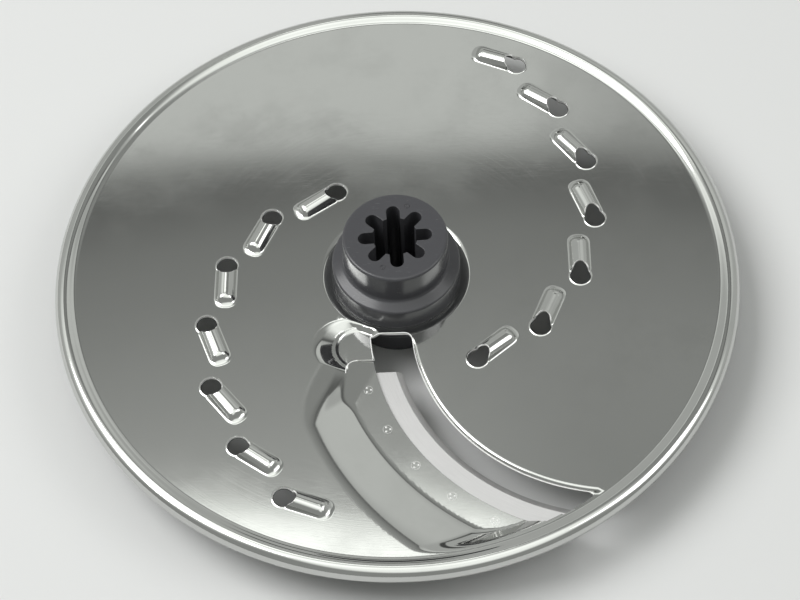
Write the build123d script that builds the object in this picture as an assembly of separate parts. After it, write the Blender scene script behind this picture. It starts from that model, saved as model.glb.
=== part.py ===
from build123d import *
import os
from math import acos, atan2, cos, degrees, hypot, pi, radians, sin, sqrt, tan

os.makedirs("parts", exist_ok=True)

# A reversible cutting disc of a food processor, lying with its grating side up.
# Millimetres, +Z up. The origin is on the drive axis, on the surface that the hub stands on.

# Sheet and disc
SHEET = 0.7             # steel sheet thickness
DISC_R = 85.0           # outer radius, over the rolled rim
BEAD_R = 2.6            # outside radius of the rolled rim's tube
BEAD_DEPTH = 1.8        # tube centre below the top of the sheet
BEAD_BLEND = 2.7        # hollow blend from the sheet up into the tube
BEAD_END_ANGLE = -166.0         # direction in which the rolled edge ends, from the tube's centre

# Hub, the same above and below the sheet
HUB_RISE = 15.4         # from the sheet to either end
HUB_TOP_R = 12.9        # cylinder at either end
HUB_RING_R = 15.8       # wider ring next to the sheet
HUB_RING_H = 5.2        # ring's height at its outer edge
HUB_SHOULDER = 1.3      # rise of the sloping shoulder
HUB_EDGE = 0.7          # rounding of the outer edges
HUB_COVE = 1.0          # hollow rounding at the foot of the cylinder

# Socket for the drive shaft, right through the hub
SOCKET_LOBES = 8
SOCKET_TIP_R = 9.05     # to the end of a lobe
SOCKET_ROOT_R = 5.5     # core between the lobes
SOCKET_LOBE_W = 3.3     # width of a lobe, with a round end
SOCKET_ANGLE = 2.2      # turn of the lobes from the Y direction

# Seat of the sheet in the hub
SEAT_DROP = 1.2         # the sheet dips by this at the hub
SEAT_BEND = 0.5         # inside bend radius of the dip
SEAT_GRIP = 1.8         # the sheet reaches this far into the hub
SEAT_GAP = 0.15         # clearance round the sheet's hole and at the hub's wall

# Grating teeth: two spirals, set apart by half a step so that one cuts between the tracks of the other
TEETH = 7               # in one spiral
TOOTH_FIRST_R = 29.0    # radius of the innermost hole
TOOTH_RIM_GAP = 7.4     # from the outermost hole's centre to the rim's blend
TOOTH_SPACING = 18.0    # straight distance from hole to hole
SPIRAL_ANGLES = (29.7, 35.6)    # turn of the first hole of either spiral, from the +Y and the -Y direction
TOOTH_TOE_ANGLE = 3.0   # turn of a tooth away from the tangent
TOOTH_HOLE_R = 2.6
HOOD_R = 2.75           # outside radius of the half-round hood at its mouth
HOOD_END_R = 2.1        # and where its closed end begins
HOOD_FOOT_R = 0.6       # bend at its foot, at the mouth
HOOD_END_FOOT_R = 1.8   # and round the closed end
HOOD_START = 1.5        # foot of the hood, from the hole's centre
HOOD_STRAIGHT = 8.7     # end of the straight part, from the hole's centre
MOUTH_R = 2.9           # the lip is cut back to this arc
MOUTH_SHIFT = 0.35      # centre of that arc, from the hole's centre

# Blade seat: a tongue of the sheet, lanced free at both ends and pressed down, with a ramp behind it.
# Its curves are arcs about one centre beside the disc's axis.
# Turns about that centre count from the -X direction.
ARC_X, ARC_Y = 51.9, -15.9
SEAT_DEPTH = 2.7        # the tongue lies this far below the sheet
TONGUE_R = 59.0         # free edge of the tongue
TONGUE_W = 8.2          # from the free edge to the bend into the ramp
RAMP_W = 10.1           # from that bend to the bend into the sheet
TONGUE_BEND = 1.2       # bend radii on the upper side
RAMP_BEND = 8.0
FOLD_ANGLES = (11.0, 19.6)      # the ramp's inner end folds along a slanting line between these turns
FOLD_INSET = 0.8        # the line starts this far inside the tongue's bend
FOLD_WIDTH = 3.2
FOLD_BEND = 2.4
END_WALL_W = 3.5        # the outer end rises to the sheet over this width
END_WALL_BEND = 1.2
PRESS_LAND = 0.2        # flat sheet worked along with the pressed part

# Lanced cuts
LANCE = 0.3             # width
LANCE_ANGLE = 8.1       # cut along the tongue's inner end
LANCE_CORNER = 3.4      # rounding of the tongue's inner corner
LANCE_INSET = 0.4       # cut round the tongue's outer end, inside the slot's outer end
LANCE_HOOK_W = 2.7      # it hooks inwards by this
LANCE_HOOK_ANGLES = (11.6, 14.1)        # turns of the hook's start and end, on from the tongue's free edge
LANCE_MOUTH_W = 2.3     # the cut widens by this at the free edge
LANCE_MOUTH_ANGLE = 6.6         # and is narrow again here

# Slot in front of the blade
SLOT_W = 10.2           # from the tongue's free edge to the far edge
SLOT_LAND = 0.3         # from the dip at the hub to the slot's inner end
SLOT_CORNER = 2.4
RIM_LAND = 0.9          # flat strip between the slot's outer end and the rim's blend
LIP_DROP = 1.6          # the far edge is turned down by this
LIP_BEND = 0.4
LIP_RUN = 2.2           # width of sheet that the turned edge takes
LIP_ANGLE = 7.0         # turn of its inner end

# Dished hollow between the hub and the tongue's inner end. Places are from the tongue's inner free corner.
DISH_DEPTH = 2.0
DISH_RIM = (-4.5, 2.9, 10.6, 7.3)       # centre and half axes of its outline
DISH_FLOOR = (-2.5, 3.2, 7.2, 5.8)      # and of its floor
DISH_STAGES = 5         # sections from the outline to the floor
DISH_LEAD = 0.06        # share by which the cut widens above the sheet
DISH_GROW = 0.4         # the underside's outline is larger by this
DISH_LAND = 0.3         # its bank starts this far from the dip at the hub
DISH_BANK = 1.8         # width of that bank

# Blade, spot-welded under the tongue
BLADE_T = 0.9
BLADE_REACH = 6.4       # from the tongue's free edge to the cutting edge
BLADE_GRIND = 1.6       # width of the ground bevel
BLADE_LAP = 5.6         # it reaches this far under the tongue
BLADE_LAND = 0.1        # thickness left at the cutting edge
BLADE_INSET = 2.9       # from the tongue's inner end to its own
BLADE_END_GAP = 0.7     # from its outer end to the slot's outer end
WELDS = 5
WELD_INSET = 3.1        # from the tongue's free edge
WELD_ANGLE = 15.4       # turn of the first weld
WELD_STEP_ANGLE = 11.1
WELD_DIMPLE_R = 0.95
WELD_DIMPLE_DEPTH = 0.15

# Derived places
TOUCH = 1e-4                        # points this close are the same
SHEET_TOP = HUB_RISE + SHEET
HUB_TOP = SHEET_TOP + HUB_RISE
DEEP = SEAT_DEPTH + 3 * SHEET       # enough to cut through everything that is pressed
FAR = 2 * DISC_R                    # enough to reach past the disc
TUBE_R = DISC_R - BEAD_R            # circle of the rolled rim's tube centre
BLEND_R = TUBE_R - sqrt((BEAD_R + BEAD_BLEND) ** 2 - (BEAD_BLEND + BEAD_DEPTH) ** 2)
SEAT_R = HUB_RING_R + SEAT_GAP      # the dip at the hub starts to rise here
SEAT_SWING = degrees(acos(1 - SEAT_DROP / (2 * SEAT_BEND + SHEET)))
DIP_R = SEAT_R + (2 * SEAT_BEND + SHEET) * sin(radians(SEAT_SWING))
SLOT_OUT_R = BLEND_R - RIM_LAND
LANCE_OUT_R = SLOT_OUT_R - LANCE_INSET
TONGUE_BEND_R = TONGUE_R + TONGUE_W
RAMP_R = TONGUE_BEND_R + RAMP_W
SLOT_FAR_R = TONGUE_R - SLOT_W


def level(shape, z=SHEET_TOP):
    """Move something drawn about height 0 up to a height."""
    return Pos(0, 0, z) * shape


def rounded_face(corners):
    """Closed face through corners (x, y, radius); a radius of 0 leaves the corner sharp."""
    places = [Vector(x, y) for x, y, _ in corners]
    runs = []
    for i, (_, _, radius) in enumerate(corners):
        here, before, after = places[i], places[i - 1], places[(i + 1) % len(places)]
        back, ahead = (before - here).normalized(), (after - here).normalized()
        if radius == 0:
            runs.append((here, here, here))
            continue
        half = radians(back.get_angle(ahead)) / 2
        reach, bow = radius / tan(half), radius / sin(half) - radius
        middle = here + (back + ahead).normalized() * bow
        runs.append((here + back * reach, middle, here + ahead * reach))
    edges = []
    for i, (start, middle, end) in enumerate(runs):
        if (end - start).length > TOUCH:
            edges.append(ThreePointArc(start, middle, end))
        following = runs[(i + 1) % len(runs)][0]
        if (following - end).length > TOUCH:
            edges.append(Line(end, following))
    return make_face(edges)


def turned(face, x=0.0, y=0.0):
    """Full turn of a (radius, height) face about the upright at x, y, heights from the sheet's top."""
    upright = Plane(origin=(x, y, SHEET_TOP), x_dir=(1, 0, 0), z_dir=(0, -1, 0))
    return revolve(upright * face, axis=Axis((x, y, 0), (0, 0, 1)), revolution_arc=360)


def prism(face, low=-DEEP, high=DEEP):
    """Upright prism on a plan face, between heights taken from the sheet's top."""
    return level(extrude(face, amount=high - low), SHEET_TOP + low)


def polar(radius, direction, x=0.0, y=0.0):
    """Plan point at a radius and a direction in degrees from x, y."""
    return (x + radius * cos(radians(direction)), y + radius * sin(radians(direction)))


def about_arc(radius, turn):
    """Plan point at a radius and a turn about the blade's arc centre."""
    return polar(radius, 180 + turn, ARC_X, ARC_Y)


def arc_disc(radius):
    """Full plan circle about the blade's arc centre."""
    return Pos(ARC_X, ARC_Y) * Circle(radius)


def arc_sector(start):
    """Plan quarter about the blade's arc centre, from a turn to past the slot's outer end."""
    turns = (start, start + 45, start + 90)
    return make_face(Polyline((ARC_X, ARC_Y), *[about_arc(FAR, turn) for turn in turns], close=True))


def below(y):
    """Plan face of everything on the -Y side of a line."""
    return make_face(Polyline((-FAR, y), (FAR, y), (FAR, -FAR), (-FAR, -FAR), close=True))


def arc_crossing(arc_r, disc_r):
    """Direction in which an arc about the blade's centre crosses a circle about the disc's axis."""
    away = hypot(ARC_X, ARC_Y)
    spread = degrees(acos((away ** 2 + disc_r ** 2 - arc_r ** 2) / (2 * away * disc_r)))
    return degrees(atan2(ARC_Y, ARC_X)) - spread


def rim_section():
    """Section of the whole round sheet: seat at the hub, flat disc and rolled rim, as (radius, height)."""
    hole_r = HUB_RING_R - SEAT_GRIP
    joint = degrees(atan2(BEAD_BLEND + BEAD_DEPTH, BLEND_R - TUBE_R))

    def one_side(z, tube, blend, dip_low, dip_high):
        """Edges of one side of the sheet from the hole to the rolled edge, with that side's bend radii."""
        seat_z = z - SEAT_DROP
        rise = polar(dip_low, SEAT_SWING - 90, SEAT_R, seat_z + dip_low)
        rise_start = polar(dip_low, SEAT_SWING / 2 - 90, SEAT_R, seat_z + dip_low)
        rise_end = polar(dip_high, SEAT_SWING / 2 + 90, DIP_R, z - dip_high)
        foot = polar(blend, joint - 180, BLEND_R, BEAD_BLEND)
        foot_start = polar(blend, (joint - 180 - 90) / 2, BLEND_R, BEAD_BLEND)
        crown = polar(tube, (joint + BEAD_END_ANGLE) / 2, TUBE_R, -BEAD_DEPTH)
        rolled = polar(tube, BEAD_END_ANGLE, TUBE_R, -BEAD_DEPTH)
        return [
            Line((hole_r, seat_z), (SEAT_R, seat_z)),
            ThreePointArc((SEAT_R, seat_z), rise_start, rise),
            ThreePointArc(rise, rise_end, (DIP_R, z)),
            Line((DIP_R, z), (BLEND_R, z)),
            ThreePointArc((BLEND_R, z), foot_start, foot),
            ThreePointArc(foot, crown, rolled),
        ]

    top = one_side(0.0, BEAD_R, BEAD_BLEND, SEAT_BEND, SEAT_BEND + SHEET)
    low = one_side(-SHEET, BEAD_R - SHEET, BEAD_BLEND + SHEET, SEAT_BEND + SHEET, SEAT_BEND)
    return make_face(top + low + [Line(top[0] @ 0, low[0] @ 0), Line(top[-1] @ 1, low[-1] @ 1)])


def ramp_pair():
    """Underside and hollow of the tongue and its ramp, turned about the blade's arc centre."""
    slope = atan2(SEAT_DEPTH, RAMP_W)
    shift = SHEET * tan(slope / 2)
    end = RAMP_R + (RAMP_BEND + SHEET) * tan(slope / 2)
    low = rounded_face([
        (SLOT_FAR_R, 0, 0), (SLOT_FAR_R, -SEAT_DEPTH - SHEET, 0),
        (TONGUE_BEND_R + shift, -SEAT_DEPTH - SHEET, TONGUE_BEND + SHEET),
        (RAMP_R + shift, -SHEET, RAMP_BEND), (end + PRESS_LAND, -SHEET, 0), (end + PRESS_LAND, 0, 0)])
    high = rounded_face([
        (SLOT_FAR_R, SHEET, 0), (SLOT_FAR_R, -SEAT_DEPTH, 0), (TONGUE_BEND_R, -SEAT_DEPTH, TONGUE_BEND),
        (RAMP_R, 0, RAMP_BEND + SHEET), (end + PRESS_LAND, 0, 0), (end + PRESS_LAND, SHEET, 0)])
    return turned(low, ARC_X, ARC_Y), turned(high, ARC_X, ARC_Y)


def end_wall_pair():
    """Underside and hollow of the tongue's rising outer end, turned about the disc's axis."""
    rise = atan2(SEAT_DEPTH, END_WALL_W)
    shift = SHEET * tan(rise / 2)
    end = SLOT_OUT_R + (END_WALL_BEND + SHEET) * tan(rise / 2) + PRESS_LAND
    foot = SLOT_OUT_R - DEEP / tan(rise)
    low = rounded_face([
        (0, 0, 0), (0, -DEEP, 0), (foot + SHEET / sin(rise), -DEEP, 0),
        (SLOT_OUT_R + shift, -SHEET, END_WALL_BEND), (end, -SHEET, 0), (end, 0, 0)])
    high = rounded_face([
        (0, SHEET, 0), (0, -DEEP, 0), (foot, -DEEP, 0), (SLOT_OUT_R, 0, END_WALL_BEND + SHEET),
        (end, 0, 0), (end, SHEET, 0)])
    return turned(low), turned(high)


def fold_ends():
    """Plan ends of the slanting line along which the ramp's inner end folds."""
    inner = about_arc(TONGUE_BEND_R - FOLD_INSET, FOLD_ANGLES[0])
    outer = about_arc(RAMP_R, FOLD_ANGLES[1])
    return Vector(*inner), Vector(*outer)


def fold_pair():
    """Underside and hollow of the ramp's folded inner end, straight along the fold line."""
    start, end = fold_ends()
    steep = atan2(SEAT_DEPTH, FOLD_WIDTH)
    along = (end - start).normalized()
    inward = Vector(-along.Y, along.X)
    across = Plane(origin=(start.X, start.Y, SHEET_TOP), x_dir=inward, z_dir=inward.cross(Vector(0, 0, 1)))
    outer = (FOLD_BEND + SHEET) * tan(steep / 2) + PRESS_LAND
    foot = DEEP / tan(steep)
    low_z = -DEEP - SHEET / cos(steep)
    low = rounded_face([
        (-FAR, 0, 0), (-FAR, -SHEET, 0), (-SHEET * tan(steep / 2), -SHEET, FOLD_BEND),
        (foot, low_z, 0), (FAR, low_z, 0), (FAR, 0, 0)])
    high = rounded_face([
        (-outer, SHEET, 0), (-outer, 0, 0), (0, 0, FOLD_BEND + SHEET), (foot, -DEEP, 0), (FAR, -DEEP, 0),
        (FAR, SHEET, 0)])
    return extrude(across * low, amount=FAR, both=True), extrude(across * high, amount=FAR, both=True)


def lance_path():
    """Cut that frees the tongue's inner end: along the end, then round its corner to where the fold starts."""
    start = about_arc(TONGUE_R - LANCE, LANCE_ANGLE)
    end = fold_ends()[0]
    return FilletPolyline(start, (end.X, start[1]), end, radius=LANCE_CORNER)


def outer_lance():
    """Plan face of the cut that frees the tongue's outer end, from the slot to a hook beside the ramp."""
    free_r = TONGUE_R - LANCE
    mouth = arc_crossing(free_r, LANCE_OUT_R)
    hook_start, hook_end = (mouth - turn for turn in LANCE_HOOK_ANGLES)
    along = ThreePointArc(*[polar(LANCE_OUT_R, turn) for turn in (mouth, (mouth + hook_start) / 2, hook_start)])
    hook = TangentArc(along @ 1, polar(LANCE_OUT_R - LANCE_HOOK_W, hook_end), tangent=along % 1)
    wide_r = LANCE_OUT_R - LANCE_MOUTH_W
    wedge = make_face(Polyline(
        polar(wide_r, arc_crossing(free_r, wide_r)), polar(LANCE_OUT_R, mouth),
        polar(LANCE_OUT_R, mouth - LANCE_MOUTH_ANGLE), close=True))
    return trace([along, hook], LANCE) + wedge


def tongue_side():
    """Plan face on the tongue's side of the inner cut, with the ramp and its surroundings."""
    path = lance_path()
    start, end = path @ 0, path @ 1
    corners = [end, (-FAR, end.Y), (-FAR, -FAR), (FAR, -FAR), (FAR, start.Y), start]
    return make_face([path, Polyline(*corners)]) - arc_disc(TONGUE_R)


def dish(grow, lower):
    """Oval dish body from above the sheet down to its floor, grown and lowered for the underside."""
    corner_x, corner_y = about_arc(TONGUE_R, LANCE_ANGLE)

    def section(share, depth):
        """Ellipse part of the way from the outline to the floor."""
        x, y, a, b = (rim + (floor - rim) * share for rim, floor in zip(DISH_RIM, DISH_FLOOR))
        return level(Pos(corner_x + x, corner_y + y) * Ellipse(a + grow, b + grow), SHEET_TOP - lower - depth)

    stages = [section(-DISH_LEAD, -SHEET)]
    for i in range(DISH_STAGES):
        share = i / (DISH_STAGES - 1)
        stages.append(section(share, DISH_DEPTH * (1 - cos(pi * share)) / 2))
    return loft(stages)


def dish_bank_pair():
    """Underside and hollow of the dish's bank beside the hub, turned about the disc's axis."""
    slope = atan2(DISH_DEPTH, DISH_BANK)
    top = DIP_R + DISH_LAND
    low_top = top - SHEET * tan(slope / 2)
    run = DEEP / tan(slope)
    low = rounded_face([
        (low_top, 0, 0), (low_top, -SHEET, 0), (low_top + run, -SHEET - DEEP, 0),
        (FAR, -SHEET - DEEP, 0), (FAR, 0, 0)])
    high = rounded_face([
        (top, SHEET, 0), (top, 0, 0), (top + run, -DEEP, 0), (FAR, -DEEP, 0), (FAR, SHEET, 0)])
    return turned(low), turned(high)


def slot_face():
    """Plan outline of the slot in front of the blade, from beside the hub to the rim."""
    top_y = -(DIP_R + SLOT_LAND)
    outline = (arc_disc(TONGUE_R) - arc_disc(SLOT_FAR_R)) & arc_sector(0) & below(top_y) & Circle(SLOT_OUT_R)
    top_corners = [v for v in outline.vertices() if abs(v.Y - top_y) < TOUCH]
    far_corner = max(top_corners, key=lambda v: v.X)
    return fillet(far_corner, SLOT_CORNER)


def lip_zone():
    """Plan sector along the slot's far edge in which that edge is turned down."""
    return arc_sector(LIP_ANGLE) & Circle(SLOT_OUT_R)


def turned_lip():
    """Turned-down far edge of the slot."""
    inner = SLOT_FAR_R - LIP_RUN
    section = rounded_face([
        (inner, 0, 0), (SLOT_FAR_R, 0, LIP_BEND + SHEET), (SLOT_FAR_R, -LIP_DROP, 0),
        (SLOT_FAR_R - SHEET, -LIP_DROP, 0), (SLOT_FAR_R - SHEET, -SHEET, LIP_BEND), (inner, -SHEET, 0)])
    return turned(section, ARC_X, ARC_Y) & prism(lip_zone())


def tooth_places():
    """Location of every tooth: hole centre and direction from the mouth to the closed end."""
    spirals = len(SPIRAL_ANGLES)
    step = (BLEND_R - TOOTH_RIM_GAP - TOOTH_FIRST_R) / (TEETH - 1 / spirals)
    places = []
    for spiral, lead in enumerate(SPIRAL_ANGLES):
        radius = TOOTH_FIRST_R + step * spiral / spirals
        turn = 90 + 360 * spiral / spirals + lead
        for _ in range(TEETH):
            places.append(Pos(*polar(radius, turn), SHEET_TOP) * Rot(0, 0, turn + 90 + TOOTH_TOE_ANGLE))
            following = radius + step
            chord = (radius ** 2 + following ** 2 - TOOTH_SPACING ** 2) / (2 * radius * following)
            turn += degrees(acos(chord))
            radius = following
    return places


def hood_half(hood_r, foot_r, inset, base):
    """Half section of a hood from its middle outwards, set in from its outside, as (across, height)."""
    radius, bend = hood_r - inset, foot_r + inset
    foot_x = sqrt((hood_r + foot_r) ** 2 - foot_r ** 2)
    tilt = degrees(atan2(foot_r, foot_x))
    join = polar(radius, tilt)
    bow = polar(bend, (tilt + 180 + 270) / 2, foot_x, foot_r)
    foot = (foot_x, foot_r - bend)
    return make_face([
        Line((0, base), (0, radius)), ThreePointArc((0, radius), polar(radius, (90 + tilt) / 2), join),
        ThreePointArc(join, bow, foot), Line(foot, (foot_x, base)), Line((foot_x, base), (0, base))])


def hood_body(inset, base):
    """Half-round body, lower towards its round closed end, along +X from the foot of the hood."""
    mouth = hood_half(HOOD_R, HOOD_FOOT_R, inset, base)
    end = hood_half(HOOD_END_R, HOOD_END_FOOT_R, inset, base)
    across = Plane(origin=(HOOD_START, 0, 0), x_dir=(0, 1, 0), z_dir=(1, 0, 0))
    side = loft([across * mouth, across.offset(HOOD_STRAIGHT - HOOD_START) * end], ruled=True)
    end_plane = Plane(origin=(HOOD_STRAIGHT, 0, 0), x_dir=(0, -1, 0), z_dir=(-1, 0, 0))
    cap = revolve(end_plane * end, axis=Axis((HOOD_STRAIGHT, 0, 0), (0, 0, 1)), revolution_arc=180)
    return side + mirror(side, Plane.XZ) + cap


def tooth_outside():
    """Raised outside of one hood, cut back to the lip."""
    mouth = Pos(MOUTH_SHIFT, 0, 0) * extrude(Circle(MOUTH_R), amount=2 * HOOD_R)
    return hood_body(0, -SHEET / 2) - mouth


def tooth_inside():
    """Everything that is open in one tooth: the hole and the hollow under the hood."""
    hole = Pos(0, 0, -DEEP) * extrude(Circle(TOOTH_HOLE_R), amount=2 * DEEP)
    return hood_body(SHEET, -2 * SHEET) + hole


def weld_dimples():
    """Shallow marks of the spot welds along the tongue."""
    ball_r = (WELD_DIMPLE_R ** 2 + WELD_DIMPLE_DEPTH ** 2) / (2 * WELD_DIMPLE_DEPTH)
    height = SHEET_TOP - SEAT_DEPTH + ball_r - WELD_DIMPLE_DEPTH
    spots = [about_arc(TONGUE_R + WELD_INSET, WELD_ANGLE + i * WELD_STEP_ANGLE) for i in range(WELDS)]
    return [Pos(*spot, height) * Sphere(ball_r) for spot in spots]


def disc_plate():
    """The pressed sheet: one piece with rolled rim, grating teeth, blade seat, slot, dish and hub seat."""
    plate = turned(rim_section())
    lows, highs = zip(ramp_pair(), end_wall_pair(), fold_pair())
    side = tongue_side()
    left = make_face(Polyline((0, FAR), (-FAR, FAR), (-FAR, -FAR), (0, -FAR), close=True))
    dish_side = left - side - arc_disc(TONGUE_R)
    bank_low, bank_high = dish_bank_pair()
    plate += lows[0] & lows[1] & lows[2] & prism(side)
    plate += dish(DISH_GROW, SHEET) & bank_low & prism(dish_side, high=0)
    plate -= highs[0] & highs[1] & highs[2] & prism(side)
    plate -= dish(0, 0) & bank_high & prism(dish_side)
    plate -= prism(slot_face())
    plate -= prism(lip_zone() & (arc_disc(SLOT_FAR_R) - arc_disc(SLOT_FAR_R - LIP_RUN)))
    plate += turned_lip()
    plate -= prism(trace(lance_path(), LANCE))
    plate -= prism(outer_lance())
    plate += [place * tooth_outside() for place in tooth_places()]
    plate -= [place * tooth_inside() for place in tooth_places()]
    plate -= weld_dimples()
    return plate


def slicing_blade():
    """Curved strip, ground on its upper side, that lies flat under the tongue."""
    edge_r, back_r = TONGUE_R - BLADE_REACH, TONGUE_R + BLADE_LAP
    top = -SEAT_DEPTH - SHEET
    bottom = top - BLADE_T
    section = rounded_face([
        (edge_r, bottom, 0), (edge_r, bottom + BLADE_LAND, 0), (edge_r + BLADE_GRIND, top, 0),
        (back_r, top, 0), (back_r, bottom, 0)])
    _, tongue_end_y = about_arc(TONGUE_R, LANCE_ANGLE)
    plan = below(tongue_end_y - BLADE_INSET) & arc_sector(0) & Circle(SLOT_OUT_R - BLADE_END_GAP)
    return turned(section, ARC_X, ARC_Y) & prism(plan, bottom - SHEET)


def drive_hub():
    """Moulded hub, the same on both sides, with a groove that grips the sheet and a lobed socket."""
    above = [
        (HUB_RING_R, HUB_RING_H, HUB_EDGE), (HUB_TOP_R, HUB_RING_H + HUB_SHOULDER, HUB_COVE),
        (HUB_TOP_R, HUB_RISE, HUB_EDGE)]
    under = [(radius, -SHEET - z, rounding) for radius, z, rounding in reversed(above)]
    hub = turned(rounded_face([(0, -SHEET - HUB_RISE, 0)] + under + above + [(0, HUB_RISE, 0)]))
    groove_r = HUB_RING_R - SEAT_GRIP - SEAT_GAP
    groove_low = -SEAT_DROP - SHEET
    hub -= turned(rounded_face([
        (groove_r, -SEAT_DROP, 0), (FAR, -SEAT_DROP, 0), (FAR, groove_low, 0), (groove_r, groove_low, 0)]))
    lobe_run = SOCKET_TIP_R - SOCKET_LOBE_W / 2
    lobe = Pos(0, lobe_run / 2) * Rot(0, 0, 90) * SlotCenterToCenter(lobe_run, SOCKET_LOBE_W)
    turns = [SOCKET_ANGLE + i * 360 / SOCKET_LOBES for i in range(SOCKET_LOBES)]
    star = Circle(SOCKET_ROOT_R) + [Rot(0, 0, turn) * lobe for turn in turns]
    return hub - extrude(star, amount=HUB_TOP)


for make_piece in (disc_plate, slicing_blade, drive_hub):
    export_step(make_piece(), f"parts/{make_piece.__name__}.step")
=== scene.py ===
import logging
import math
from dataclasses import dataclass, field
from enum import Enum, IntEnum
from typing import Any, Optional, Union

import bpy
import numpy as np
from mathutils import Matrix, Vector
from mathutils.geometry import delaunay_2d_cdt


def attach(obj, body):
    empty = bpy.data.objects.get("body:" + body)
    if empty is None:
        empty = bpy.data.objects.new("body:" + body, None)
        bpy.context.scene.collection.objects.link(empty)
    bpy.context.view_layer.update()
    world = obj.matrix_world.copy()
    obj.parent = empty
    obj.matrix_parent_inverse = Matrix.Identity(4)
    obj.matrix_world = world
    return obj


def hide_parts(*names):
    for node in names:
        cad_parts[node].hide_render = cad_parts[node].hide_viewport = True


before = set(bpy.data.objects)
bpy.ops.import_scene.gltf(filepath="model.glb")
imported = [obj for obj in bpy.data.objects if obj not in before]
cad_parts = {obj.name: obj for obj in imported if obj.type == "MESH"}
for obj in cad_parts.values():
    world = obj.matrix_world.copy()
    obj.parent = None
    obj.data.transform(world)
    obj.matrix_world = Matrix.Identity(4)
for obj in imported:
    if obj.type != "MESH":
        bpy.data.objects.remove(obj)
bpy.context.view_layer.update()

LOG = logging.getLogger("food_processor_disc")
MM = 0.001
BODY = "root"

# Heights of the solids, in millimetres
SHEET = 0.7
SHEET_TOP = 16.1
HUB_TOP = 31.5

# Roundness of small round forms, in steps
RING_STEPS = 28
WIRE_STEPS = 8
SPECK_STEPS = (10, 6)
EASE_STEPS = 9
BEVEL_SAMPLES = 4

# Specks of a mark, as shares of its ring's radius and of their own
SPECK_SPREAD = 0.6
SPECK_SINK = -0.4

Colour = tuple[float, float, float]
Place = tuple[float, float, float]
Scale = tuple[float, float, float]
Pair = tuple[float, float]
Band = tuple[float, float, float, float]
Sections = tuple[np.ndarray, np.ndarray, np.ndarray, np.ndarray]
Settings = dict[str, Any]
Sockets = dict[Union[str, int], Any]
Operand = Union["Value", float]


class Slot(Enum):
    """Material slots of the record."""

    SHEET = "polished_sheet"
    BLADE = "blade_steel"
    HUB = "hub_plastic"


class Node(Enum):
    """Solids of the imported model."""

    PLATE = "disc_plate"
    BLADE = "slicing_blade"
    HUB = "drive_hub"


class Side(IntEnum):
    """Sides of the sheet, in the order of its finishes."""

    UPPER = 0
    CUT = 1
    LOWER = 2


class Value:
    """A number in a node tree, so that Python arithmetic adds Math nodes."""

    def __init__(self, sheet: "NodeSheet", socket: bpy.types.NodeSocket) -> None:
        """Keep the tree and the output socket."""
        self.sheet = sheet
        self.socket = socket

    def math(self, operation: str, first: Operand, second: Optional[Operand] = None) -> "Value":
        """Add one Math node.

        Args:
            operation: the node's operation.
            first: value or number of its first socket.
            second: value or number of its second socket, where it has one.

        Returns:
            The node's result.
        """
        sockets: Sockets = {0: first}
        if second is not None:
            sockets[1] = second
        return self.sheet.value(self.sheet.add("ShaderNodeMath", {"operation": operation}, sockets))

    def __add__(self, other: Operand) -> "Value":
        """Sum."""
        return self.math("ADD", self, other)

    def __radd__(self, other: Operand) -> "Value":
        """Sum with the number first."""
        return self.math("ADD", other, self)

    def __sub__(self, other: Operand) -> "Value":
        """Difference."""
        return self.math("SUBTRACT", self, other)

    def __rsub__(self, other: Operand) -> "Value":
        """Difference with the number first."""
        return self.math("SUBTRACT", other, self)

    def __mul__(self, other: Operand) -> "Value":
        """Product."""
        return self.math("MULTIPLY", self, other)

    def __rmul__(self, other: Operand) -> "Value":
        """Product with the number first."""
        return self.math("MULTIPLY", other, self)

    def __truediv__(self, other: Operand) -> "Value":
        """Quotient."""
        return self.math("DIVIDE", self, other)

    def __pow__(self, other: Operand) -> "Value":
        """Power."""
        return self.math("POWER", self, other)

    def __abs__(self) -> "Value":
        """Size without its sign."""
        return self.math("ABSOLUTE", self)

    def step(self, low: float, high: float) -> "Value":
        """Smooth step from 0 at low to 1 at high."""
        node = self.sheet.add(
            "ShaderNodeMapRange", {"interpolation_type": "SMOOTHSTEP"},
            {"Value": self, "From Min": low, "From Max": high})
        return self.sheet.value(node)


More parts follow.
